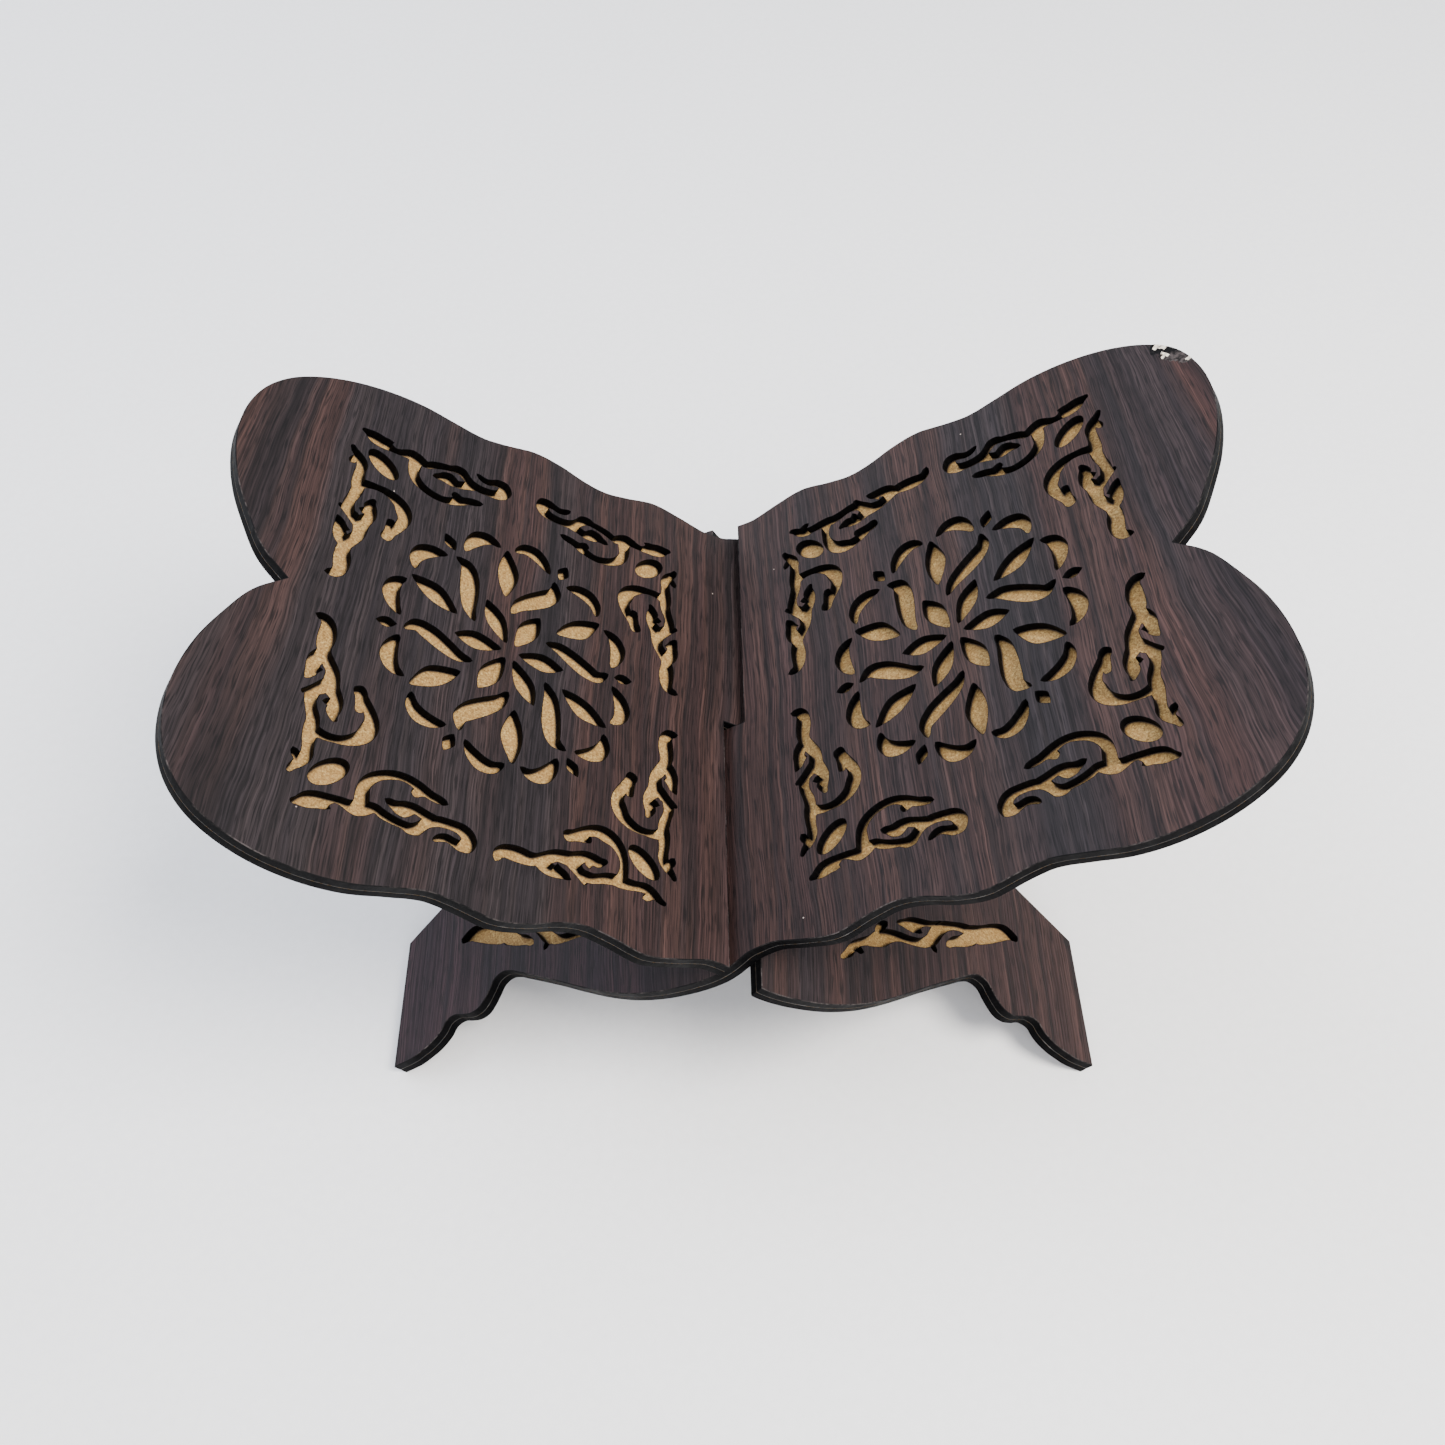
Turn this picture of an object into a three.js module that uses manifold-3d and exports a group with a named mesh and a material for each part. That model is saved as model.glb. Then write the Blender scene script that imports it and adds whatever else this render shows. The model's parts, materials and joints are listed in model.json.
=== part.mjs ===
// Folding book stand (rehal): two equal boards, each of two glued layers, slotted into an X.
// Millimetres, +Z up, the floor at z = 0.  The boards cross on an axis along Y above the origin.
import * as THREE from 'three';
import Module from 'manifold-3d';
import { mergeVertices } from 'three/addons/utils/BufferGeometryUtils.js';

// ---- driving dimensions, mm and degrees ------------------------------------------------
const LAYER = 3;              // thickness of one layer; a board is two of them
const GLUE_GAP = 0.3;         // left open between the two glued layers
const LEAN = 32.3;            // each board above level when the stand is open
const FOOT_REACH = 137.6;     // crossing axis to the foot ends, along the board
const SLOT_PLAY = { leg: 0.3, wing: 1.1 };  // free space beside the board that passes the slot
const SLOT_END_GAP = 0.15;    // each slot stops this far past the middle of the stand
const SHIFT = 2.75;           // each board's own centre line lies this far from the middle
const ORNAMENT_SHIFT = 1;     // the ornament is cut this far off that line, towards the slot
const KERF = 0.4;             // the laser widens every stroke by this much
const FRAME_OUTER = 142.4;    // corner ornaments: outer and inner edge, from the axis
const FRAME_INNER = 23.4;
const FRAME_HALF_DEPTH = 72;  // and half their spread across the board
const ROSETTE_CENTRE = 82.9;  // centre of the rosette, from the axis
const ROSETTE_SHIFT = -2;     // and from the middle of the corner ornaments
const ROSETTE_STRETCH = { along: 0.94, across: 1.04 };
const PETALS = 6;
const ODD_CORNER = { slip: -5.7, squeeze: 0.92 };  // the one stem arm that lies along a long edge
const FAR_SCROLL_SPREAD = 3;  // the leg scroll away from the slot sits this much further out

const STROKE_STEP = 2.1;      // spacing of the points along the edges of a stroke
const OUTLINE_STEP = { wing: 4.4, leg: 3.6, arch: 4 };  // and along a board's outline
const LEAF_POINTS = 18;
// A stroke's end, by its half width: square, or round with points at these shares of its turn.
const STROKE_END = { squareBelow: 0.5, narrowBelow: 1.1, narrow: [0.5], wide: [0.28, 0.72] };
const SLOT_MOUTH = 110;       // the slot is cut out past the board's long edge to here

const rad = THREE.MathUtils.degToRad;
const BOARD = 2 * LAYER;
const PASSING_HALF = BOARD / 2 / Math.tan(rad(LEAN));  // half width the passing board needs
const AXIS_HEIGHT = FOOT_REACH * Math.sin(rad(LEAN)) + BOARD / 2 * Math.cos(rad(LEAN));

// ---- outline of a board -----------------------------------------------------------------
// [distance from the axis, half depth]; both long edges are alike, wings positive, legs negative.
const WING_EDGE = [
  [152, 0], [160.5, 8], [167, 19.5], [171.6, 30], [174.6, 42], [175.3, 52.5], [173.8, 63],
  [169.9, 72.3], [163.5, 79.8], [154.9, 85.3], [144.4, 89.2], [132, 91.3], [120, 91.2],
  [109, 89.2], [99, 87.7], [90, 89], [80, 91], [70, 89.6], [61, 86.8], [53, 85.7],
  [44, 87.4], [33.5, 90], [22, 88.3], [12, 86.3], [4, 87.3],
];
const LEG_EDGE = [
  [-4.5, 90.8], [-13, 91.8], [-28.1, 90.8], [-40, 88.2], [-50, 84.6], [-60, 80], [-70, 75],
  [-80, 70.3], [-86, 67.6], [-91, 65.8], [-94.8, 67], [-97.6, 71.5], [-101, 76], [-106, 77.4],
  [-111.5, 76.1], [-115.2, 77], [-118, 80.8], [-123, 84.4], [-130, 87.1],
];
const FOOT_OUTER = [-FOOT_REACH, 88.2];
const FOOT_INNER = [-FOOT_REACH, 41.5];
const ARCH_SHOULDER = [-103, 16.5];
const ARCH_SIDE = [-98, 8.5];
const ARCH_TOP = [-96, 0];

// ---- ornament strokes -------------------------------------------------------------------
// [first, second, width] down the middle of each tapered cut.
// Corner arms: first runs along the arm from the frame's corner, second runs inward.
const STEM_ARM = [
  [[63.6, 1.2, 1.6], [63.4, 2.6, 2.4], [62, 4, 3.4], [59.3, 4.5, 4.4], [56.5, 4.4, 4.7],
    [54, 4.2, 4.1], [52, 4.3, 3.5], [50.3, 5, 3.5], [48.4, 6.1, 3.5], [46.5, 7.5, 3.2],
    [44.5, 8, 3.6], [42.5, 8, 4.2], [40.4, 8, 4.6], [38.6, 9.2, 3.8], [37.1, 10.4, 2.8],
    [35.3, 10.4, 3.1], [33.5, 9.9, 3.7], [31.8, 9.9, 2.8], [30.4, 10.4, 1.4], [29.5, 10.9, 0.4]],
  [[35.3, 9.3, 2.2], [35.1, 7.7, 1.7]],
  [[41.4, 1, 0.8], [42.6, 1.6, 2.2], [44.2, 2.2, 3.3], [46.2, 2.1, 3.4], [48.2, 2.6, 3.8],
    [50, 3.4, 3.4], [51.6, 4.2, 2.4]],
  [[44.9, 3.1, 1.8], [45, 4.1, 1.3]],
  [[36.1, 0.6, 0.5], [36.9, 2.2, 1.8], [38, 4.2, 3], [39.6, 6, 3.6], [41.5, 7.4, 3.2]],
  [[37.6, 4, 2.8], [35.8, 3.3, 3.3], [34, 3.3, 2.8], [32, 3.8, 2.6], [30, 4.5, 3],
    [28, 5, 3.1], [26.2, 5, 3.6], [24.4, 4.9, 3.6], [22, 4.8, 3.2], [19.8, 4.9, 2.6],
    [17.8, 5.1, 2.8], [16, 5, 2.9], [14.4, 4.2, 2.7], [13, 3, 2.4], [11.6, 1.9, 1.6],
    [10, 1.1, 0.5]],
  [[14.5, 3.3, 2], [15.7, 2.2, 1.8], [16.7, 1.7, 1.5]],
  [[25, 5.4, 3.4], [24, 8, 2.6], [23.9, 10.5, 2], [24, 13, 2.2], [25, 16, 3], [27, 18.8, 3.9],
    [30, 20.4, 4.6], [33, 20.9, 3.6], [35.6, 20.1, 3], [38, 18.7, 2.8], [40.2, 17.1, 3],
    [42, 16.3, 3.3]],
  [[40, 16.9, 3], [37.6, 17, 2.5], [35.9, 16.9, 2]],
];
const SCROLL_ARM = [
  [[3.3, 1.3, 0.5], [5.2, 1.9, 2.4], [7, 2.7, 4.4], [9, 3.5, 4.5], [11, 3.8, 4.7],
    [12.4, 4.6, 3.2], [13.8, 5.2, 1.9], [16, 5.2, 2], [18.3, 4.6, 3], [20.5, 4.5, 4.4],
    [23, 5.3, 3.8], [25.5, 5.9, 2.4], [28, 4.7, 2.4], [31, 3.8, 2.1], [33.6, 3.3, 2],
    [35.8, 2.7, 3], [37.7, 3.3, 3.2], [39.1, 4.9, 2.5], [40.9, 6.6, 3], [43.5, 7.4, 2.8],
    [47.5, 7.4, 2.7], [50.6, 6.7, 3.4], [52.5, 4.8, 4], [52.2, 2.4, 4.1], [50.3, 1.7, 2.9],
    [48.3, 2.3, 2.1], [46.3, 2.9, 2], [44.4, 2.5, 1.8], [42.8, 1.4, 0.7]],
  [[11.5, 2.9, 3.2], [12.6, 2.4, 1.7]],
  [[28.6, 9.4, 1.3], [30.2, 8.8, 2.3], [32, 8.2, 3.9], [33.9, 8.3, 4.5], [35.6, 9.2, 3],
    [37.4, 9, 2.5], [39.4, 8.1, 2.8], [42, 7.4, 2.8]],
  [[21.4, 5.6, 3.6], [21.5, 8.5, 3.6], [21.5, 11.5, 2.9], [22.8, 14.3, 2.8], [25.4, 16.5, 2.4],
    [29, 17.9, 2.3], [32.3, 18.2, 2.1], [35.4, 17.3, 2.5], [38, 15.9, 2.9], [40.3, 14.9, 2.4],
    [42.7, 14.3, 2.2], [44.6, 13.8, 1.3]],
  [[37.8, 15.4, 2.6], [36.1, 14.4, 2.3]],
];
const CORNER_LEAF = { first: 11.6, second: 13.2, halfLength: 6.4, halfWidth: 3.4, turn: 43 };
// Leg scrolls: first from the axis towards the foot, second from the centre line outward.
const LEG_SCROLL = [
  [[35.6, 72, 0.8], [38.6, 69.6, 2.4], [40.8, 66.7, 2.2], [44.1, 64.6, 2], [48.1, 63.3, 3.4],
    [51.6, 61.5, 5.3], [55.1, 59.7, 4.2], [59.1, 58.8, 3], [64.1, 59, 2.6], [69.1, 58.6, 2.8],
    [73.1, 56.4, 3.8], [75.6, 53, 4.2], [78.6, 50.3, 3.6], [83.1, 48.7, 2.4], [88.1, 48.4, 3.4],
    [91.6, 49.6, 6.2], [97.1, 48.4, 6.2], [102.1, 46.4, 6.1], [107.1, 45, 5], [110.7, 46, 2.6]],
  [[90.6, 51.4, 4.6], [86.6, 53.5, 3.6], [82.6, 54.8, 2.9], [80.1, 56.6, 1.5]],
  [[59.6, 53.6, 0.8], [62.2, 53.3, 2.6], [65, 53.1, 4.8], [67.6, 51.9, 3.8], [70.4, 50.9, 2],
    [74, 50.4, 1.5], [78.1, 49.6, 2.2]],
  [[66.4, 53.8, 3.4], [68.3, 54.5, 1.7]],
  [[72.6, 57.8, 2.8], [74.1, 60.1, 1.2]],
  [[51.6, 59.5, 3.4], [52.4, 57, 2.6], [54.4, 55.2, 1.3]],
  [[40.6, 67.4, 2], [43.2, 68, 1.8]],
];
// Rosette, one petal's share: [radius, degrees from the petal's axis, width].
const ROSETTE_SHARE = [
  [[4, 0, 1], [8, 0, 4.4], [12, 0, 6], [15.5, 0, 4.2], [18.5, 0, 0.8]],
  [[15.5, 31, 1.1], [19, 24, 3.8], [23, 14, 5.4], [27.5, 6.5, 5.6], [32, 3.5, 4], [35.5, 6.5, 1]],
  [[21.5, 39, 1], [25.5, 37.5, 4.6], [30, 36, 6.4], [34.2, 36, 4.6], [38.4, 36, 0.9]],
  [[38.2, 12.5, 1.1], [40.4, 16.5, 3.6], [42.3, 22, 4.8], [42, 27.5, 3.4], [40.2, 31.2, 1]],
  [[38.2, 59.5, 1.1], [40.4, 55.5, 3.6], [42.3, 50, 4.8], [42, 44.5, 3.4], [40.2, 40.8, 1]],
  [[39.2, 6, 0.8], [41.7, 6, 3.4], [44.4, 6, 0.8]],
];

// ---- flat shapes ------------------------------------------------------------------------
const wasm = await Module();
wasm.setup();

// A smooth line through points, evenly resampled; a stroke's width goes along as the third value.
function smoothThrough(points, spacing) {
  const line = new THREE.CatmullRomCurve3(points.map(([x, y, w = 0]) => new THREE.Vector3(x, y, w)),
    false, 'centripetal');
  return line.getSpacedPoints(Math.max(2, Math.round(line.getLength() / spacing)));
}

// The closed outline of a tapered stroke with round ends.
function strokeOutline(stroke) {
  const middle = smoothThrough(stroke, STROKE_STEP);
  const left = [];
  const right = [];
  middle.forEach((point, i) => {
    const before = middle[Math.max(i - 1, 0)];
    const after = middle[Math.min(i + 1, middle.length - 1)];
    const way = new THREE.Vector2(after.x - before.x, after.y - before.y).normalize();
    const side = new THREE.Vector2(-way.y, way.x).multiplyScalar((point.z + KERF) / 2);
    left.push(new THREE.Vector2(point.x + side.x, point.y + side.y));
    right.push(new THREE.Vector2(point.x - side.x, point.y - side.y));
  });
  const cap = (from, to, centre) => {
    const radius = from.distanceTo(to) / 2;
    if (radius < STROKE_END.squareBelow) return [];
    const start = Math.atan2(from.y - centre.y, from.x - centre.x);
    const shares = radius < STROKE_END.narrowBelow ? STROKE_END.narrow : STROKE_END.wide;
    return shares.map((share) => new THREE.Vector2(
      centre.x + radius * Math.cos(start - Math.PI * share),
      centre.y + radius * Math.sin(start - Math.PI * share)));
  };
  const last = middle.length - 1;
  return [
    ...left,
    ...cap(left[last], right[last], middle[last]),
    ...right.reverse(),
    ...cap(right[last], left[0], middle[0]),
  ];
}

// The corner leaf, a plain ellipse laid out by the corner's own place function.
function leafOutline(place) {
  const { first, second, halfLength, halfWidth, turn } = CORNER_LEAF;
  const ellipse = new THREE.EllipseCurve(first, second, halfLength, halfWidth, 0, 2 * Math.PI,
    false, rad(turn));
  return ellipse.getPoints(LEAF_POINTS).slice(1).map((point) => {
    const [along, across] = place(point.x, point.y);
    return new THREE.Vector2(along, across + ORNAMENT_SHIFT);
  });
}

// A closed solid between two heights over an outline.
function prism(outline, low, high) {
  const turned = THREE.ShapeUtils.isClockWise(outline) ? [...outline].reverse() : outline;
  const raised = new THREE.ExtrudeGeometry(new THREE.Shape(turned),
    { depth: high - low, bevelEnabled: false, steps: 1 });
  raised.translate(0, 0, low);
  raised.deleteAttribute('normal');
  raised.deleteAttribute('uv');
  const merged = mergeVertices(raised, 1e-4);
  return new wasm.Manifold(new wasm.Mesh({
    numProp: 3,
    vertProperties: Float32Array.from(merged.attributes.position.array),
    triVerts: Uint32Array.from(merged.index.array),
  }));
}

function boardOutline() {
  const flat = (points, spacing) => smoothThrough(points, spacing).map((p) => [p.x, p.y]);
  const wing = flat(WING_EDGE, OUTLINE_STEP.wing);
  const leg = flat([WING_EDGE.at(-1), ...LEG_EDGE], OUTLINE_STEP.leg).slice(1);
  const arch = flat([ARCH_SHOULDER, ARCH_SIDE, ARCH_TOP], OUTLINE_STEP.arch);
  const half = [...wing, ...leg, FOOT_OUTER, FOOT_INNER, ...arch];
  const other = half.slice(1, -1).reverse().map(([x, y]) => [x, -y]);
  return [...half, ...other].map(([x, y]) => new THREE.Vector2(x, y));
}

function slotOutline() {
  const end = -SHIFT - SLOT_END_GAP;
  const legSide = -PASSING_HALF - SLOT_PLAY.leg;
  const wingSide = PASSING_HALF + SLOT_PLAY.wing;
  return [[legSide, end], [wingSide, end], [wingSide, SLOT_MOUTH], [legSide, SLOT_MOUTH]]
    .map(([x, y]) => new THREE.Vector2(x, y));
}

// Outlines of every cut of the ornament on a board, by distance from the axis and the centre.
function ornamentOutlines() {
  const strokes = [];
  const leaves = [];
  const corners = [
    { start: FRAME_OUTER, inward: -1, side: -1, odd: false },
    { start: FRAME_OUTER, inward: -1, side: 1, odd: false },
    { start: FRAME_INNER, inward: 1, side: -1, odd: false },
    { start: FRAME_INNER, inward: 1, side: 1, odd: true },
  ];
  for (const { start, inward, side, odd } of corners) {
    const place = (first, second, width) =>
      [start + inward * first, side * (FRAME_HALF_DEPTH - second), width];
    const slipped = (first, second, width) =>
      place(first + ODD_CORNER.slip, second * ODD_CORNER.squeeze, width);
    const longArm = odd ? STEM_ARM : SCROLL_ARM;
    const lay = odd ? slipped : place;
    longArm.forEach((stroke) => strokes.push(stroke.map(([a, b, w]) => lay(a, b, w))));
    STEM_ARM.forEach((stroke) => strokes.push(stroke.map(([a, b, w]) => place(b, a, w))));
    leaves.push(leafOutline(place));
  }
  for (const side of [-1, 1]) {
    const spread = side < 0 ? FAR_SCROLL_SPREAD : 0;
    LEG_SCROLL.forEach((stroke) => strokes.push(
      stroke.map(([a, b, w]) => [-a, side * (b + spread), w])));
  }
  for (let petal = 0; petal < PETALS; petal += 1) {
    for (const stroke of ROSETTE_SHARE) {
      strokes.push(stroke.map(([radius, turn, width]) => {
        const angle = rad(turn + 360 * petal / PETALS);
        return [ROSETTE_CENTRE + ROSETTE_STRETCH.along * radius * Math.cos(angle),
          ROSETTE_SHIFT + ROSETTE_STRETCH.across * radius * Math.sin(angle), width];
      }));
    }
  }
  const shifted = strokes.map((stroke) => stroke.map(([a, b, w]) => [a, b + ORNAMENT_SHIFT, w]));
  return [...shifted.map(strokeOutline), ...leaves];
}

// ---- solids -----------------------------------------------------------------------------
const half = GLUE_GAP / 2;
const slot = prism(slotOutline(), -BOARD, BOARD);
const outline = boardOutline();
const backing = prism(outline, -BOARD / 2, -half).subtract(slot);
const cuts = ornamentOutlines().map((shape) => prism(shape, 0, BOARD));
const allCuts = cuts.reduce((sum, cut) => sum.add(cut));
const fret = prism(outline, half, BOARD / 2).subtract(slot).subtract(allCuts);

const walnut = new THREE.MeshStandardMaterial({ color: 0x4b4140, roughness: 0.6, metalness: 0 });
const rawBoard = new THREE.MeshStandardMaterial({ color: 0xc8a564, roughness: 0.85, metalness: 0 });

// The solid on the board's own plane, carried to its place in the stand.
function stand(solid, turn, material, name) {
  const shape = solid.getMesh();
  const geometry = new THREE.BufferGeometry();
  geometry.setAttribute('position', new THREE.BufferAttribute(shape.vertProperties, 3));
  geometry.setIndex(new THREE.BufferAttribute(shape.triVerts, 1));
  geometry.translate(0, SHIFT, 0);
  geometry.rotateY(-rad(LEAN));
  geometry.rotateZ(rad(turn));
  geometry.translate(0, 0, AXIS_HEIGHT);
  const faceted = geometry.toNonIndexed();
  faceted.computeVertexNormals();
  const mesh = new THREE.Mesh(faceted, material);
  mesh.name = name;
  return mesh;
}

const group = new THREE.Group();
group.name = 'quran_stand';
group.add(
  stand(fret, 180, walnut, 'board_a_fret'),
  stand(backing, 180, rawBoard, 'board_a_backing'),
  stand(fret, 0, walnut, 'board_b_fret'),
  stand(backing, 0, rawBoard, 'board_b_backing'),
);

export default group;
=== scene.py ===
"""A folding book stand: two slotted boards, each a fretted walnut layer glued on a backing.

Every board is rebuilt at full finish from the outlines of its own CAD nodes: rounded and worn
rims, scorched laser-cut walls, the raw floor of the cut-outs, the glue line and one chipped lobe.
Board coordinates are millimetres: x up the wing, y across the board, z out of its upper face.
"""

import json
import math
import random

import bmesh
import bpy
from mathutils import Matrix, Vector
from mathutils.geometry import delaunay_2d_cdt
from mathutils.kdtree import KDTree


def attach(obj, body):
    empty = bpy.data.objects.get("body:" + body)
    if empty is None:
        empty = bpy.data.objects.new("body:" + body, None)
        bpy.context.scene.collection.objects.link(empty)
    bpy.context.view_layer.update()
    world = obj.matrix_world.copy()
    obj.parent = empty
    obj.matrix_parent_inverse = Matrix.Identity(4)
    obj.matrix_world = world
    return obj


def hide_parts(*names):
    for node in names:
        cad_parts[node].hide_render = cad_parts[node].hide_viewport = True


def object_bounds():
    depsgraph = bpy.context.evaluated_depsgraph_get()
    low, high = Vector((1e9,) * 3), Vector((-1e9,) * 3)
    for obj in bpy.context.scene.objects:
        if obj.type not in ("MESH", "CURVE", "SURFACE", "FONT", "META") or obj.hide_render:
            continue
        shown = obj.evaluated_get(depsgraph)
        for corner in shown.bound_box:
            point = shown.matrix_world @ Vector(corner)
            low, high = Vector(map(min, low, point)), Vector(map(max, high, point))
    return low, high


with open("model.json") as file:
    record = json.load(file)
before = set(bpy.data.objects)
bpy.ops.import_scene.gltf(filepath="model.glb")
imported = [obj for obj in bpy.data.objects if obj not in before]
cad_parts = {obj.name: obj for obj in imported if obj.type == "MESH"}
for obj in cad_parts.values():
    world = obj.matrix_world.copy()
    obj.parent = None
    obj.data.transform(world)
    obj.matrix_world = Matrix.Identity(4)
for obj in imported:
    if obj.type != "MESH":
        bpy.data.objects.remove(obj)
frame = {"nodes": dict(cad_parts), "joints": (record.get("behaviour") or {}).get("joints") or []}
cad_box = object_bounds()
joint = frame["joints"][0]

MM = 0.001
TOP = 3.0            # upper face of a board, above its middle plane
GLUE = 0.15          # half the space between its two layers
STEP = 0.5   # spacing of the points along a cut edge
SAME_LEVEL = 0.02    # a face this near to a height lies on it
SHORTEST_EDGE = 0.2  # nearer points than this are one point
OUTER_RIM = 0.3      # how far the worn rim reaches in from the board's edge
CUT_RIM = 0.2        # and from the edge of a cut-out
SCORCH_AND_SHADE_WIDTH = 0.9   # the floor is darkened this far from a cut: laser browning, with painted shade at the foot of the walls
MARK_DEPTH = 0.045   # depth of the laser's upright lines
FILM_REACH = 3.0     # the glue film goes this far in from the edge
LEVEL_NORMAL = 0.9999             # a face whose normal is this upright is a flat one
OUTER_CORNER = math.radians(50)   # sharper turns than this stay sharp
CUT_CORNER = math.radians(80)
SHARP = math.radians(24)   # faces that meet at more than this are shaded apart
LAMINATE, CHAR, WORN, RAW, TORN = range(5)   # material places on every board piece


# ---- reading the boards ------------------------------------------------------------------
def board_place(node):
    """The board's own frame: x up the wing, y across, z out of the upper face."""
    mesh = frame["nodes"][node].data
    areas = {}
    for face in mesh.polygons:
        if face.normal.z > 0.5:
            key = tuple(round(c, 2) for c in face.normal)
            areas.setdefault(key, [0.0, Vector()])
            areas[key][0] += face.area
            areas[key][1] += face.normal * face.area
    out = max(areas.values(), key=lambda entry: entry[0])[1].normalized()
    up = (Vector((0, 0, 1)) - out * out.z).normalized()
    place = Matrix((up, out.cross(up), out)).transposed().to_4x4()
    place.translation = Vector(joint["pos_m"])
    return place @ Matrix.Scale(MM, 4)


def face_loops(node, place, level):
    """Closed outlines of the flat face at this height, the longest first, material on the left."""
    mesh = frame["nodes"][node].data
    inverse = place.inverted()
    points = [inverse @ v.co for v in mesh.vertices]
    edges = set()
    for face in mesh.polygons:
        if all(abs(points[i].z - level) < SAME_LEVEL for i in face.vertices):
            keys = [(round(points[i].x, 2), round(points[i].y, 2)) for i in face.vertices]
            for a, b in zip(keys, keys[1:] + keys[:1]):
                if a == b:
                    continue
                if (b, a) in edges:
                    edges.remove((b, a))
                else:
                    edges.add((a, b))
    follow = dict(edges)
    loops = []
    while follow:
        start, here = follow.popitem()
        loop = [start]
        while here != start and here in follow:
            loop.append(here)
            here = follow.pop(here)
        loops.append([Vector(p) for p in loop])
    loops = [loop for loop in loops if len(loop) > 3]
    return sorted(loops, key=loop_length, reverse=True)


def loop_length(loop):
    """The distance once round a closed outline."""
    return sum((a - b).length for a, b in zip(loop, loop[1:] + loop[:1]))


def turn_at(loop, i):
    """How far the outline turns at a point, either way."""
    before = loop[i] - loop[i - 1]
    after = loop[(i + 1) % len(loop)] - loop[i]
    return abs(before.angle_signed(after))


def between(p0, p1, p2, p3, share):
    """A point on the centripetal spline from p1 to p2."""
    t0 = 0.0
    t1 = t0 + max((p1 - p0).length, 1e-6) ** 0.5
    t2 = t1 + max((p2 - p1).length, 1e-6) ** 0.5
    t3 = t2 + max((p3 - p2).length, 1e-6) ** 0.5
    t = t1 + (t2 - t1) * share
    a1 = p0 * ((t1 - t) / (t1 - t0)) + p1 * ((t - t0) / (t1 - t0))
    a2 = p1 * ((t2 - t) / (t2 - t1)) + p2 * ((t - t1) / (t2 - t1))
    a3 = p2 * ((t3 - t) / (t3 - t2)) + p3 * ((t - t2) / (t3 - t2))
    b1 = a1 * ((t2 - t) / (t2 - t0)) + a2 * ((t - t0) / (t2 - t0))
    b2 = a2 * ((t3 - t) / (t3 - t1)) + a3 * ((t - t1) / (t3 - t1))
    return b1 * ((t2 - t) / (t2 - t1)) + b2 * ((t - t1) / (t2 - t1))


def smooth(loop, corner):
    """The loop through a spline at even steps; corners sharper than the limit are kept."""
    thin = [p for i, p in enumerate(loop) if (p - loop[i - 1]).length > SHORTEST_EDGE]
    count = len(thin)
    sharp = [turn_at(thin, i) > corner for i in range(count)]
    points = []
    for i in range(count):
        p1 = thin[i]
        p2 = thin[(i + 1) % count]
        p0 = 2 * p1 - p2 if sharp[i] else thin[i - 1]
        p3 = 2 * p2 - p1 if sharp[(i + 1) % count] else thin[(i + 2) % count]
        steps = max(1, round((p2 - p1).length / STEP))
        points += [between(p0, p1, p2, p3, k / steps) for k in range(steps)]
    return points


def sideways(loop):
    """At each point, the way into the material, lengthened at corners to keep the offset."""
    ways = []
    for i, here in enumerate(loop):
        before = (here - loop[i - 1]).normalized()
        after = (loop[(i + 1) % len(loop)] - here).normalized()
        mean = before + after
        mean = mean.normalized() if mean.length > 0.2 else before
        miter = 1 / max(0.6, mean.dot(before))
        ways.append(Vector((-mean.y, mean.x)) * miter)
    return ways


# ---- building meshes ---------------------------------------------------------------------
def fill(loops, extra=()):
    """Triangles inside the first loop and outside the others: points, triangles, their sources."""
    coords = []
    faces = []
    for loop in loops:
        faces.append(list(range(len(coords), len(coords) + len(loop))))
        coords += loop
    faces = [faces[0]] + [face[::-1] for face in faces[1:]]
    coords += list(extra)
    points, _, triangles, sources, _, inside = delaunay_2d_cdt(coords, [], faces, 1, 1e-5, True)
    keep = [t for t, owners in zip(triangles, inside) if list(owners) == [0]]
    return points, keep, sources


def flat_face(mesh, loops, rings, level, material, downward, extra=()):
    """Fills the face that the rings of vertices bound."""
    known = [v for ring in rings for v in ring]
    points, triangles, sources = fill(loops, extra)
    verts = []
    for point, origin in zip(points, sources):
        if origin and origin[0] < len(known):
            verts.append(known[origin[0]])
        else:
            verts.append(mesh.verts.new((point.x, point.y, level)))
    for triangle in triangles:
        corners = [verts[i] for i in triangle]
        if len(set(corners)) < 3:
            continue
        if downward:
            corners.reverse()
        if not mesh.faces.get(corners):
            mesh.faces.new(corners).material_index = material


def wall(mesh, loop, profile, materials):
    """A skin down the loop; profile(i) gives (inset, height) from the top row to the bottom."""
    ways = sideways(loop)
    rows = []
    for i, (point, way) in enumerate(zip(loop, ways)):
        for row, (inset, height) in enumerate(profile(i)):
            if len(rows) <= row:
                rows.append([])
            spot = point + way * inset
            rows[row].append(mesh.verts.new((spot.x, spot.y, height)))
    count = len(loop)
    for row in range(len(rows) - 1):
        for i in range(count):
            j = (i + 1) % count
            face = mesh.faces.new((rows[row][i], rows[row + 1][i], rows[row + 1][j], rows[row][j]))
            face.material_index = materials(i, row)
    return rows


def row_loop(row):
    """The flat outline of a row of vertices."""
    return [Vector((v.co.x, v.co.y)) for v in row]


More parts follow.
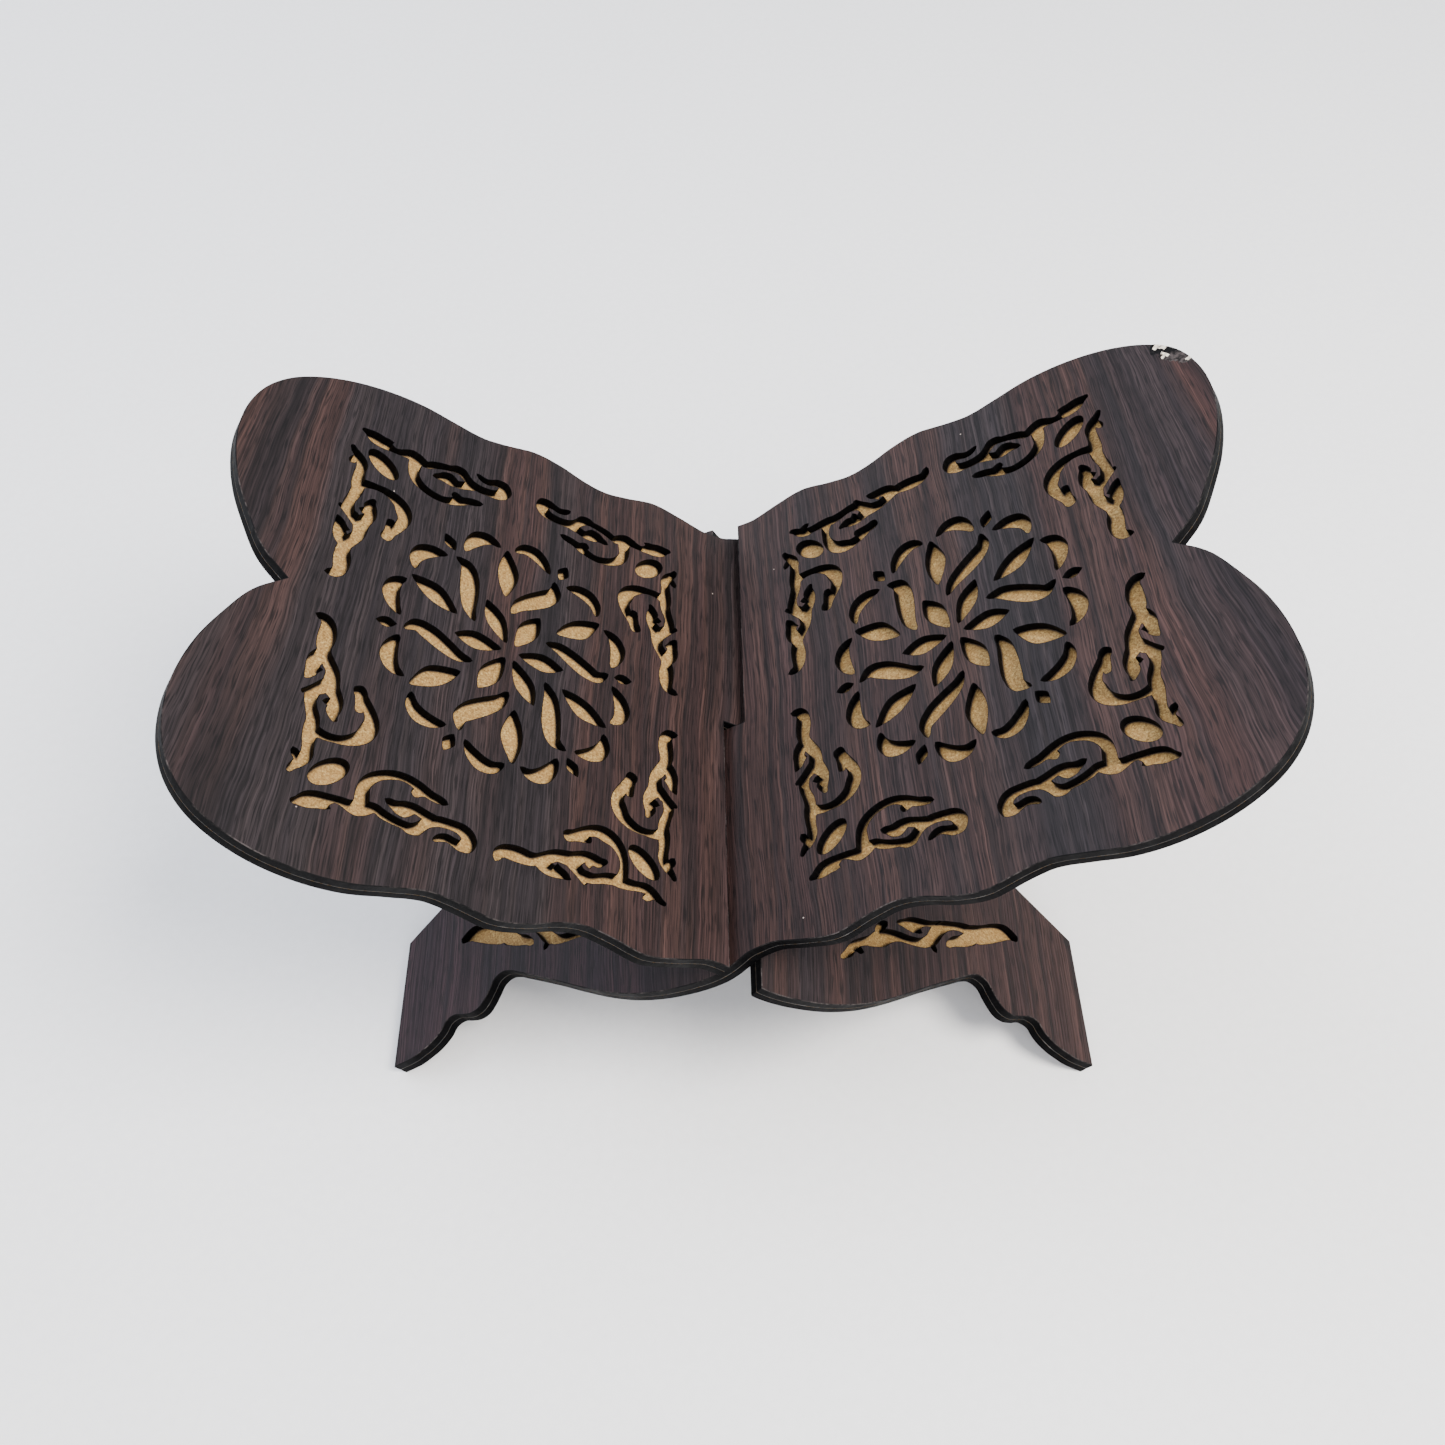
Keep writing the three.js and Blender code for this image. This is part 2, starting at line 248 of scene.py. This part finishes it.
def finish_mesh(mesh, name, place, materials, body, stands_for):
    """Shades the mesh and puts it in the stand as a piece that rides on its board's body."""
    bmesh.ops.recalc_face_normals(mesh, faces=mesh.faces)
    for edge in mesh.edges:
        if len(edge.link_faces) == 2:
            flats = [abs(face.normal.z) > LEVEL_NORMAL for face in edge.link_faces]
            edge.smooth = flats[0] == flats[1] and edge.calc_face_angle(0) < SHARP
    for face in mesh.faces:
        face.smooth = True
    data = bpy.data.meshes.new(name)
    mesh.to_mesh(data)
    mesh.free()
    data.transform(Matrix.Scale(MM, 4))
    for material in materials:
        data.materials.append(material)
    piece = bpy.data.objects.new(name, data)
    bpy.context.scene.collection.objects.link(piece)
    piece.matrix_world = place @ Matrix.Scale(1 / MM, 4)
    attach(piece, body)
    if stands_for:
        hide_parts(stands_for)


def scorch_marks(count, rng):
    """Fine upright lines that the laser leaves: a small inset for each point along a cut."""
    raw = [rng.random() for _ in range(count)]
    return [MARK_DEPTH * (0.6 * raw[i] + 0.4 * raw[i - 1]) for i in range(count)]


# ---- the chipped lobe --------------------------------------------------------------------
CHIP_FROM = Vector((171.0, 68.0))   # its two ends on the edge of the right wing
CHIP_TO = Vector((162.0, 83.5))
CHIP_WIDTH = 4.4                    # how far the laminate is torn in from the edge
CHIP_ROWS = 5                       # rows of crumpled faces across it


def chip_depths(loop, rng):
    """How deep the edge is broken at each point, from 0 to 1, uneven and less at the ends."""
    middle = (CHIP_FROM + CHIP_TO) / 2
    reach = (CHIP_FROM - CHIP_TO).length / 2
    depths = []
    level = 0.7
    for point in loop:
        level += (rng.random() - 0.5) * 0.35
        level = min(1.0, max(0.45, level))
        away = (point - middle).length / reach
        depths.append(level * (1 - away ** 8) if away < 1 else 0.0)
    return depths


def torn_rows(deep, rim, rng):
    """The crumpled strip between the sound laminate and the edge: insets and heights."""
    rows = [(rim + CHIP_WIDTH * deep, TOP)]
    for k in range(1, CHIP_ROWS):
        share = 1 - k / CHIP_ROWS
        inset = rim * share + (CHIP_WIDTH * share - 0.35) * deep
        lift = (0.55 * rng.random() - 0.22) * deep if deep else 0.0
        rows.append((inset, TOP + lift - 0.04 * (k == CHIP_ROWS - 1)))
    return rows


def is_flake(point, deep, row):
    """Whether pale torn paper shows here: one flake at the edge, one farther in, one scratch."""
    if deep < 0.02:
        return False
    chip = CHIP_FROM - CHIP_TO
    share = (point - CHIP_TO).dot(chip) / chip.length_squared + 0.25 * (deep - 0.7)
    if row >= 2:
        return 0.10 < share < (0.40 if row > 2 else 0.20) or 0.86 < share < 0.88
    return row == 1 and 0.32 < share < 0.60 or row == 0 and 0.44 < share < 0.54


# ---- board pieces ------------------------------------------------------------------------
def fret_wall(mark, deep, rim):
    """The fret layer's edge below its upper face: insets and heights, from the top down."""
    return [
        (rim * 0.35 - 0.3 * deep, TOP - 0.04),
        (rim * 0.05 - 0.2 * deep, TOP - 0.18),
        (mark, TOP - 0.55),
        (mark, TOP - 1.6),
        (mark + 0.02, 0.8),
        (mark + 0.05, GLUE),
    ]


def sound_edge(mesh, loop, marks, rim, outermost):
    """The edge of a cut-out or of a whole board; only the board's own edge is worn pale."""

    def profile(i):
        return [(rim, TOP)] + fret_wall(marks[i], 0.0, rim)

    return wall(mesh, loop, profile, lambda i, row: WORN if outermost and row < 2 else CHAR)


def chipped_edge(mesh, loop, marks, rng):
    """The outer edge of the board whose laminate is torn at one lobe."""
    depths = chip_depths(loop, rng)

    def profile(i):
        return torn_rows(depths[i], OUTER_RIM, rng) + fret_wall(marks[i], depths[i], OUTER_RIM)

    def paint(i, row):
        if row < CHIP_ROWS and is_flake(loop[i], depths[i], row):
            return TORN
        return WORN if row <= CHIP_ROWS else CHAR

    return wall(mesh, loop, profile, paint)


def build_fret(side, place, outer, cuts, materials, chipped):
    """The walnut-faced layer with the ornament cut through it."""
    rng = random.Random(11 if side == "a" else 23)
    mesh = bmesh.new()
    rings = []
    for number, loop in enumerate([outer] + cuts):
        marks = scorch_marks(len(loop), rng)
        outermost = number == 0
        if chipped and outermost:
            rings.append(chipped_edge(mesh, loop, marks, rng))
        else:
            rim = OUTER_RIM if outermost else CUT_RIM
            rings.append(sound_edge(mesh, loop, marks, rim, outermost))
    tops = [rows[0] for rows in rings]
    bottoms = [rows[-1] for rows in rings]
    flat_face(mesh, [row_loop(r) for r in tops], tops, TOP, LAMINATE, False)
    flat_face(mesh, [row_loop(r) for r in bottoms], bottoms, GLUE, CHAR, True)
    body = "board_" + side
    finish_mesh(mesh, body + "_fret_panel", place, materials, body, body + "_fret")


def floor_points(outer, cuts):
    """Points on the floor of the cut-outs, under the walls and in two lines inside them.

    Returns them with a search tree of the walls and the board's edge.
    """
    points = [p for loop in cuts for p in loop]
    borders = points + outer
    tree = KDTree(len(borders))
    for i, p in enumerate(borders):
        tree.insert((p.x, p.y, 0), i)
    tree.balance()
    for offset, stride in ((0.35, 1), (0.95, 2)):
        for loop in cuts:
            ways = sideways(loop)
            for i in range(0, len(loop), stride):
                spot = loop[i] - ways[i].normalized() * offset
                if tree.find((spot.x, spot.y, 0))[2] > 0.85 * offset:
                    points.append(spot)
    return points, tree


def build_backing(side, place, outer, cuts, materials):
    """The layer under the fret: laminate below, raw fibreboard above, darkened near the cuts by
    laser browning and painted shade.
    """
    rng = random.Random(31 if side == "a" else 47)
    mesh = bmesh.new()
    marks = scorch_marks(len(outer), rng)

    def profile(i):
        return [
            (marks[i] + 0.05, -GLUE),
            (marks[i] + 0.02, -0.9),
            (marks[i], -1.7),
            (marks[i], -TOP + 0.5),
            (0.02, -TOP + 0.18),
            (0.1, -TOP + 0.04),
            (0.3, -TOP),
        ]

    rows = wall(mesh, outer, profile, lambda i, row: WORN if row > 3 else CHAR)
    points, tree = floor_points(outer, cuts)
    flat_face(mesh, [row_loop(rows[0])], [rows[0]], -GLUE, RAW, False, points)
    flat_face(mesh, [row_loop(rows[-1])], [rows[-1]], -TOP, LAMINATE, True)
    # painted shade: the floor darkens towards the walls of the cut-outs, where shade falls in the
    # corners, together with laser browning
    scorch_and_shade = mesh.verts.layers.float.new("scorch_and_shade")
    for v in mesh.verts:
        if v.co.z > -GLUE - 0.01:
            distance = tree.find((v.co.x, v.co.y, 0))[2]
            v[scorch_and_shade] = max(0.0, 1 - distance / SCORCH_AND_SHADE_WIDTH)
    body = "board_" + side
    finish_mesh(mesh, body + "_backing_panel", place, materials, body, body + "_backing")


def build_glue(side, place, outer, material):
    """The thin film between the layers, a fine line around the board's edge."""
    rng = random.Random(5 if side == "a" else 7)
    mesh = bmesh.new()
    squeeze = [0.05 + 0.15 * rng.random() ** 3 for _ in outer]
    level = GLUE * 0.96

    def profile(i):
        edge = squeeze[i]
        return [(FILM_REACH, level), (edge + 0.04, level), (edge, 0.0),
                (edge + 0.04, -level), (FILM_REACH, -level), (FILM_REACH, level)]

    rows = wall(mesh, outer, profile, lambda i, row: 0)
    bmesh.ops.remove_doubles(mesh, verts=rows[0] + rows[-1], dist=1e-4)
    body = "board_" + side
    finish_mesh(mesh, body + "_glue_line", place, [material], body, None)


# ---- materials ---------------------------------------------------------------------------
class Shader:
    """A material's node tree with short calls for the nodes used here."""

    def __init__(self, name):
        self.material = bpy.data.materials.new(name)
        self.material.use_nodes = True
        self.tree = self.material.node_tree
        self.tree.nodes.clear()
        output = self.tree.nodes.new("ShaderNodeOutputMaterial")
        self.surface = self.tree.nodes.new("ShaderNodeBsdfPrincipled")
        self.tree.links.new(self.surface.outputs["BSDF"], output.inputs["Surface"])
        self.where = self.tree.nodes.new("ShaderNodeTexCoord").outputs["Object"]

    def put(self, value, socket):
        """Joins a socket to another, or sets it to a plain value."""
        if isinstance(value, bpy.types.NodeSocket):
            self.tree.links.new(value, socket)
        elif value is not None:
            socket.default_value = value

    def set(self, **values):
        """Sets the shader's own inputs by name."""
        for name, value in values.items():
            self.put(value, self.surface.inputs[name.replace("_", " ")])

    def stretched(self, scale, turn=0.0, shift=(0, 0, 0), source=None):
        """Coordinates that are turned and shifted first, then scaled by axis."""
        node = self.tree.nodes.new("ShaderNodeMapping")
        self.put(source or self.where, node.inputs["Vector"])
        turned = self.tree.nodes.new("ShaderNodeMapping")
        node.inputs["Rotation"].default_value = (0, 0, turn)
        node.inputs["Location"].default_value = shift
        turned.inputs["Scale"].default_value = scale
        self.put(node.outputs["Vector"], turned.inputs["Vector"])
        return turned.outputs["Vector"]

    def noise(self, vector, scale=1.0, detail=3.0, rough=0.5, lumps=0.0):
        """Cloudy values around a half."""
        node = self.tree.nodes.new("ShaderNodeTexNoise")
        self.put(vector, node.inputs["Vector"])
        node.inputs["Scale"].default_value = scale
        node.inputs["Detail"].default_value = detail
        node.inputs["Roughness"].default_value = rough
        node.inputs["Distortion"].default_value = lumps
        return node.outputs["Fac"]

    def cells(self, vector, scale):
        """The distance to the nearest of many scattered points."""
        node = self.tree.nodes.new("ShaderNodeTexVoronoi")
        self.put(vector, node.inputs["Vector"])
        node.inputs["Scale"].default_value = scale
        return node.outputs["Distance"]

    def ramp(self, value, stops):
        """A colour, or a plain number, for each value, through the given stops."""
        node = self.tree.nodes.new("ShaderNodeValToRGB")
        self.put(value, node.inputs["Fac"])
        band = node.color_ramp
        while len(band.elements) < len(stops):
            band.elements.new(0.5)
        for element, (position, colour) in zip(band.elements, stops):
            element.position = position
            shade = colour if isinstance(colour, tuple) else (colour,) * 3
            element.color = (*shade, 1)
        return node.outputs["Color"]

    def mix(self, share, a, b, kind="MIX"):
        """Two colours blended by share; 6, 7 and 2 are a Mix node's colour sockets."""
        node = self.tree.nodes.new("ShaderNodeMix")
        node.data_type = "RGBA"
        node.blend_type = kind
        self.put(share, node.inputs["Factor"])
        for value, place in ((a, 6), (b, 7)):
            self.put((*value, 1) if isinstance(value, tuple) else value, node.inputs[place])
        return node.outputs[2]

    def rings(self, value, dark, middle, light):
        """Growth rings: each grows lighter, then turns back to a darker line."""
        return self.ramp(value, [(0.30, middle), (0.42, light), (0.45, dark), (0.50, middle),
                                 (0.57, light), (0.60, dark), (0.66, middle)])

    def maths(self, kind, a, b=None):
        """One step of arithmetic on values or sockets."""
        node = self.tree.nodes.new("ShaderNodeMath")
        node.operation = kind
        self.put(a, node.inputs[0])
        self.put(b, node.inputs[1])
        return node.outputs[0]

    def part(self, vector, axis):
        """One coordinate of a vector."""
        node = self.tree.nodes.new("ShaderNodeSeparateXYZ")
        self.put(vector, node.inputs[0])
        return node.outputs[axis]

    def joined(self, x, y, z):
        """The vector of three coordinates."""
        node = self.tree.nodes.new("ShaderNodeCombineXYZ")
        for value, socket in zip((x, y, z), node.inputs):
            self.put(value, socket)
        return node.outputs[0]

    def attribute(self, name):
        """A value that the mesh holds at its points."""
        node = self.tree.nodes.new("ShaderNodeAttribute")
        node.attribute_name = name
        return node.outputs["Fac"]

    def bump(self, height, distance, strength=1.0):
        """Gives the surface relief of this depth in metres."""
        node = self.tree.nodes.new("ShaderNodeBump")
        self.put(height, node.inputs["Height"])
        node.inputs["Distance"].default_value = distance
        node.inputs["Strength"].default_value = strength
        self.set(Normal=node.outputs["Normal"])


def srgb(red, green, blue):
    """Linear colour from the usual 0 to 255 values."""
    return tuple((c / 255 / 12.92) if c < 11 else ((c / 255 + 0.055) / 1.055) ** 2.4
                 for c in (red, green, blue))


def leaning_grain(s, along, outer_lobe, lean_out):
    """Coordinates that follow the fibres: they waver a little and lean over in the lobes."""
    across = s.part(s.where, "Y")
    waver = s.maths("SUBTRACT", s.noise(s.where, 11, 3, 0.6), 0.5)
    drift = s.maths("MULTIPLY", across, s.maths("MULTIPLY", outer_lobe, lean_out))
    drift = s.maths("ADD", drift, s.maths("MULTIPLY", waver, 0.007))
    return s.joined(s.maths("ADD", along, drift), across, s.part(s.where, "Z"))


def walnut(name, shift, slant, lean_out, painted_leg_shade, lobe_painted_light):
    """Dark walnut laminate: bands and fibres run across the board, with short dark pores.

    The fibres lean by lean_out in the outer lobes, beyond the ornament; painted shade darkens
    the leg, and painted reflected sky light makes the outer lobes greyer and lighter.
    """
    s = Shader(name)
    along = s.part(s.where, "X")
    outer_lobe = s.ramp(s.maths("MULTIPLY", along, 5.0), [(0.66, 0.0), (0.95, 1.0)])
    leg = s.ramp(s.maths("MULTIPLY", along, -5.0), [(0.04, 0.0), (0.16, 1.0)])
    grain = leaning_grain(s, along, outer_lobe, lean_out)
    other = (shift[0] + 0.3, shift[1] + 0.1, 0)
    bands = s.noise(s.stretched((64, 1.6, 1), slant, shift, grain), 1, 2, 0.4)
    tint = s.noise(s.stretched((34, 1.3, 1), slant, other, grain), 1, 2)
    streaks = s.noise(s.stretched((760, 4, 1), slant, shift, grain), 1, 3, 0.6)
    fibres = s.noise(s.stretched((1750, 16, 1), slant, shift, grain), 1, 3, 0.6)
    pores = s.noise(s.stretched((2300, 110, 1), slant, other, grain), 1, 1, 0.5)
    grey = s.rings(bands, srgb(25, 21, 23), srgb(32, 27, 29), srgb(37, 31, 32))
    red = s.rings(bands, srgb(31, 23, 23), srgb(42, 29, 28), srgb(50, 35, 32))
    # The tone turns at random between grey and red, and greys towards the outer lobes: painted
    # reflection of the bluish sky light.
    redness = s.maths("SUBTRACT", tint, s.maths("MULTIPLY", along, 0.5))
    colour = s.mix(s.ramp(redness, [(0.35, 0.0), (0.47, 1.0)]), grey, red)
    streaked = s.ramp(streaks, [(0.32, 0.76), (0.5, 1.0), (0.68, 1.24)])
    colour = s.mix(1.0, colour, streaked, "MULTIPLY")
    fibrous = s.ramp(fibres, [(0.36, 0.50), (0.5, 1.0), (0.64, 1.70)])
    colour = s.mix(1.0, colour, fibrous, "MULTIPLY")
    # painted shade: the leg is darkened and turned bluer, as it lies in shade under the other
    # board's wing
    colour = s.mix(leg, colour, painted_leg_shade, "MULTIPLY")
    # painted reflected light: the outer lobes are made lighter
    colour = s.mix(outer_lobe, colour, lobe_painted_light, "MULTIPLY")
    dark = s.ramp(pores, [(0.54, 0.0), (0.64, 0.7)])
    colour = s.mix(dark, colour, srgb(7, 6, 7))
    dust = s.cells(s.stretched((1, 1, 0.0), 0, shift), 60)
    colour = s.mix(s.ramp(dust, [(0.010, 0.8), (0.016, 0.0)]), colour, srgb(205, 190, 180))
    s.set(Base_Color=colour, Roughness=s.ramp(fibres, [(0.3, 0.56), (0.7, 0.44)]),
          Specular_IOR_Level=0.14)
    s.bump(s.mix(dark, fibres, (0.0, 0.0, 0.0)), 0.00008, 0.6)
    return s.material


def scorched():
    """Laser-cut fibreboard walls: brown-black, finely lined from top to bottom."""
    s = Shader("scorched_edge")
    lines = s.noise(s.stretched((900, 900, 60)), 1, 4, 0.6)
    soot = s.noise(s.where, 160, 4, 0.6)
    colour = s.ramp(lines, [(0.3, srgb(2, 2, 3)), (0.55, srgb(5, 5, 6)),
                            (0.8, srgb(14, 13, 13))])
    colour = s.mix(s.ramp(soot, [(0.6, 0.0), (0.85, 0.5)]), colour, srgb(22, 19, 17))
    s.set(Base_Color=colour, Roughness=s.ramp(soot, [(0.3, 0.5), (0.7, 0.7)]),
          Specular_IOR_Level=0.03)
    s.bump(lines, 0.00012, 0.6)
    return s.material


def worn_rim():
    """The board's outer rims, which handling has rubbed paler here and there."""
    s = Shader("worn_rim")
    along = s.noise(s.where, 70, 4, 0.65)
    specks = s.noise(s.where, 900, 3, 0.6)
    rubbed = s.maths("MULTIPLY", s.ramp(along, [(0.46, 0.0), (0.62, 1.0)]),
                     s.ramp(specks, [(0.36, 0.1), (0.6, 1.0)]))
    colour = s.mix(rubbed, srgb(8, 8, 9), srgb(70, 64, 63))
    s.set(Base_Color=colour, Roughness=0.6, Specular_IOR_Level=0.08)
    s.bump(specks, 0.00008, 0.5)
    return s.material


def fibreboard():
    """Raw fibreboard: matted pale fibres with dark and light flecks, brown beside the cuts from
    laser browning and painted shade.
    """
    s = Shader("raw_fibreboard")
    clouds = s.noise(s.where, 260, 4, 0.6)
    mat = s.noise(s.where, 1500, 5, 0.7, 0.6)
    flecks = s.noise(s.stretched((1, 0.45, 1), 0.8), 2600, 2, 0.5, 1.2)
    colour = s.ramp(mat, [(0.32, srgb(84, 58, 26)), (0.48, srgb(145, 113, 61)),
                          (0.68, srgb(198, 167, 107))])
    colour = s.mix(s.ramp(clouds, [(0.35, 0.45), (0.65, 0.0)]), colour, srgb(140, 102, 52))
    colour = s.mix(s.ramp(flecks, [(0.62, 0.0), (0.72, 0.6)]), colour, srgb(86, 58, 28))
    # painted shade at the foot of the walls, with laser browning: dark brown near the cuts
    burnt_and_shaded = s.attribute("scorch_and_shade")
    colour = s.mix(s.ramp(burnt_and_shaded, [(0.0, 0.0), (0.45, 0.12), (0.8, 0.55), (1.0, 0.95)]),
                   colour, srgb(36, 25, 17))
    s.set(Base_Color=colour, Roughness=0.85)
    s.bump(mat, 0.00015, 0.5)
    return s.material


def torn_paper():
    """The torn laminate's paper: cream and grey, with a few darker shreds."""
    s = Shader("torn_paper")
    shreds = s.noise(s.where, 700, 4, 0.6, 0.5)
    colour = s.ramp(shreds, [(0.34, srgb(84, 74, 68)), (0.42, srgb(172, 160, 146)),
                             (0.56, srgb(222, 214, 196))])
    s.set(Base_Color=colour, Roughness=0.8)
    s.bump(shreds, 0.0003, 0.8)
    return s.material


def glue():
    """Dried glue at the joint of the layers: dark, with pale stretches."""
    s = Shader("glue_line")
    breaks = s.noise(s.where, 120, 4, 0.65)
    colour = s.ramp(breaks, [(0.42, srgb(9, 9, 9)), (0.58, srgb(30, 29, 29)),
                             (0.74, srgb(104, 102, 99))])
    s.set(Base_Color=colour, Roughness=0.7)
    s.bump(breaks, 0.0001, 0.4)
    return s.material


# ---- the stand ---------------------------------------------------------------------------
edge_char, rim, raw, torn, film = scorched(), worn_rim(), fibreboard(), torn_paper(), glue()
# For each board: where its figure is cut from, its slant, its lean in the lobes, the painted shade
# on its leg and the painted reflected light in its lobes.
GRAIN = {
    "a": ((0.013, 0.21, 0), 0.03, -0.12, (0.93, 0.91, 0.93), (1.0, 1.0, 1.0)),
    "b": ((0.171, 0.64, 0), -0.03, 0.20, (0.73, 0.71, 0.98), (1.38, 1.20, 1.20)),
}
for side, grain in GRAIN.items():
    fret_node = f"board_{side}_fret"
    place = board_place(fret_node)
    loops = face_loops(fret_node, place, TOP)
    outer = smooth(loops[0], OUTER_CORNER)
    cuts = [smooth(loop, CUT_CORNER) for loop in loops[1:]]
    laminate = walnut(f"walnut_laminate_{side}", *grain)
    finishes = [laminate, edge_char, rim, raw, torn]
    build_fret(side, place, outer, cuts, finishes, chipped=side == "b")
    build_backing(side, place, outer, cuts, finishes)
    build_glue(side, place, outer, film)


# ---- floor, light and camera -------------------------------------------------------------
SENSOR = 36             # camera sensor and lens, millimetres
FOCAL_LENGTH = 34.96
FROM_VALLEY = Vector((-0.0035, -0.2762, 0.3757))   # the camera's place, in metres
CAMERA_TURNS = (36.44, 0.86, -1.09)


def pale_floor():
    """A plain floor of matt white card."""
    s = Shader("pale_floor")
    paper = s.noise(s.where, 300, 3)
    s.set(Base_Color=s.ramp(paper, [(0.3, (0.90, 0.90, 0.90)), (0.7, (0.93, 0.93, 0.93))]),
          Roughness=0.9)
    bpy.ops.mesh.primitive_plane_add(size=8)
    floor = bpy.context.object
    floor.name = "floor"
    floor.data.materials.append(s.material)


def soft_light(name, place, target, size, power, colour):
    """A round area light that faces the target."""
    light = bpy.data.lights.new(name, "AREA")
    light.shape = "DISK"
    light.size = size
    light.energy = power
    light.color = colour
    lamp = bpy.data.objects.new(name, light)
    lamp.location = place
    lamp.rotation_euler = (Vector(target) - Vector(place)).to_track_quat("-Z", "Y").to_euler()
    bpy.context.scene.collection.objects.link(lamp)


def studio_air(colour, strength):
    """An even light from all sides."""
    world = bpy.data.worlds.new("studio")
    world.use_nodes = True
    background = world.node_tree.nodes["Background"]
    background.inputs["Color"].default_value = (*colour, 1)
    background.inputs["Strength"].default_value = strength
    bpy.context.scene.world = world


def add_camera(place, turns):
    """The camera, with its turns about X, Y and Z in degrees."""
    lens = bpy.data.cameras.new("camera")
    lens.sensor_width = SENSOR
    lens.lens = FOCAL_LENGTH
    camera = bpy.data.objects.new("camera", lens)
    camera.location = place
    camera.rotation_euler = [math.radians(a) for a in turns]
    bpy.context.scene.collection.objects.link(camera)
    bpy.context.scene.camera = camera


pale_floor()
middle = (cad_box[0] + cad_box[1]) / 2
soft_light("key", (0.70, -0.35, 1.30), middle, 0.8, 40, (1.0, 0.95, 0.89))
soft_light("sky", (-0.9, 0.5, 1.0), middle, 1.4, 18, (0.80, 0.86, 1.0))
soft_light("front", (0.1, -1.2, 0.9), middle, 1.0, 8, (1.0, 0.97, 0.95))
studio_air((0.90, 0.93, 1.0), 1.15)

# The camera looks down into the valley where the two upper faces meet.
upper = board_place("board_b_fret").to_3x3().col[2].normalized()
valley = Vector(joint["pos_m"]) + Vector((0, 0, TOP * MM / upper.z))
add_camera(valley + FROM_VALLEY, CAMERA_TURNS)
